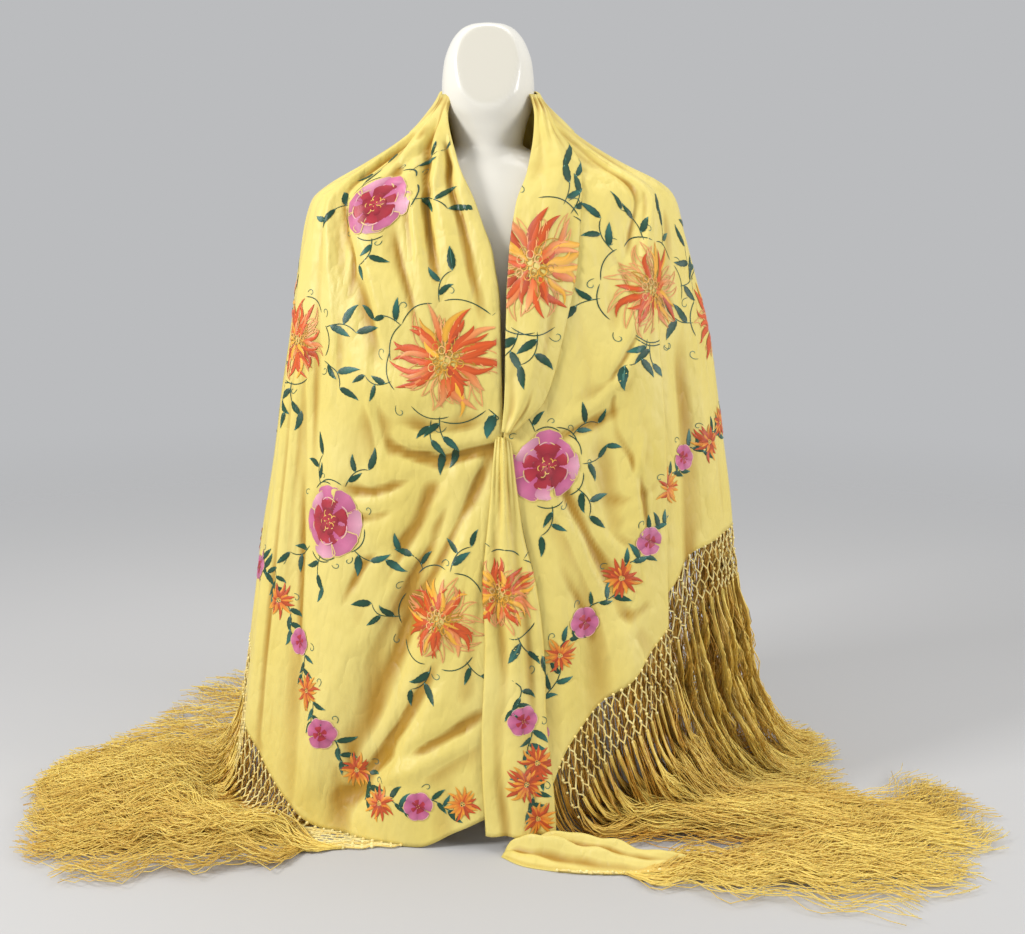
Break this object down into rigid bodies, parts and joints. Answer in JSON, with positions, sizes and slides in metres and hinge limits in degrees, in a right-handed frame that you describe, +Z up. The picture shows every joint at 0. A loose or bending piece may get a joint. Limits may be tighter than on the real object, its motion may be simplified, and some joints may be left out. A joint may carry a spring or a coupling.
{
  "type": "fringed shawl on display bust",
  "caption": "Square silk shawl with a knotted net and long fringe, folded to a triangle and pinned in front round a limbless display bust on a round stand.",
  "frame": {"origin": "on the floor, at the middle of the underside of the bust's round base", "axes": "+Z up along the bust, +X to the right as seen from the front, and the front faces -Y"},
  "size_m": [1.6122, 1.2537, 1.192],
  "materials": {
    "silk": "golden yellow silk crepe with a soft sheen, embroidered in floss silk",
    "fringe": "glossy twisted silk cord, knotted into a net and left loose below",
    "bust": "glossy off-white moulded plastic with a beige-grey face",
    "stand": "satin steel"
  },
  "bodies": {
    "root": {"shawl_front_right": "silk", "shawl_back": "silk", "shawl_front_left": "silk", "shawl_lapel": "silk", "shawl_neck_roll": "silk", "shawl_centre_fold": "silk", "shawl_floor_tip": "silk", "fringe_left_front": "fringe", "fringe_left_side": "fringe", "fringe_back_left": "fringe", "fringe_back_right": "fringe", "fringe_right_side": "fringe", "fringe_right_front": "fringe", "fringe_floor_tip": "fringe", "bust": "bust", "stand_pole": "stand", "stand_base": "stand"}
  },
  "joints": []
}
